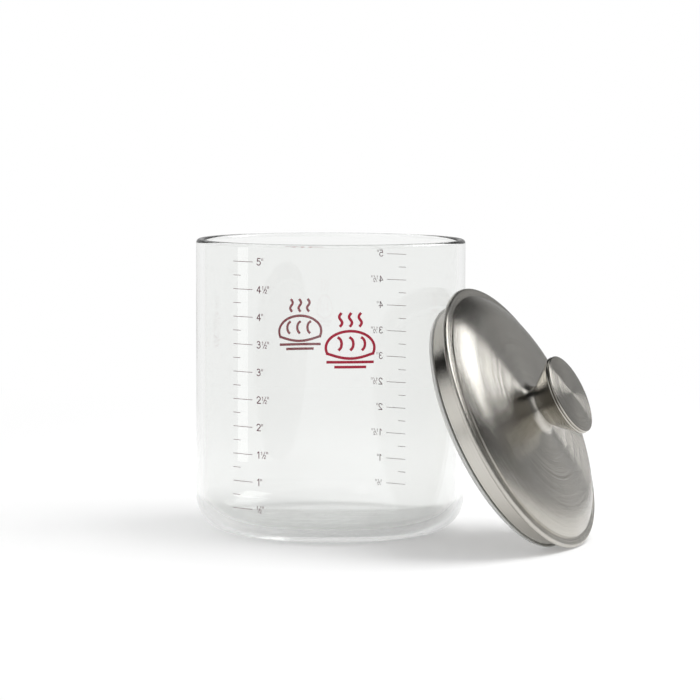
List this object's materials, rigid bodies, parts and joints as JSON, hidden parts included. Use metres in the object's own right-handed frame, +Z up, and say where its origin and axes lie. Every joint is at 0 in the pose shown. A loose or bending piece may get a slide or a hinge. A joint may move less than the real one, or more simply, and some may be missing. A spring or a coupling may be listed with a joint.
{
  "type": "starter jar",
  "caption": "Straight-sided glass jar for sourdough starter, with a domed steel plug lid, a sealing ring and a flared knob, shown leaning on the jar.",
  "frame": {"origin": "middle of the jar's flat base, on the floor", "axes": "+Z up along the jar's axis, -Y towards the viewer of the picture, +X to the viewer's right"},
  "size_m": [0.1891, 0.1744, 0.1385],
  "materials": {
    "glass": "clear, with red print",
    "lid_steel": "lathe brushed",
    "knob_steel": "fine turned",
    "silicone": "translucent",
    "brass": "plain turned",
    "screw_steel": "bright plated"
  },
  "bodies": {
    "jar": {"glass_jar": "glass"},
    "lid": {"lid_shell": "lid_steel", "lid_pan": "lid_steel", "seal_ring": "silicone", "knob_cone": "knob_steel", "knob_cap": "knob_steel", "knob_bush": "brass", "knob_screw": "screw_steel", "screw_washer": "screw_steel"}
  },
  "joints": [
    {"name": "lid_lift", "type": "slide", "parent": "jar", "child": "lid", "axis": [0.8262, -0.3558, 0.4368], "range_m": [0, 0.15]}
  ]
}
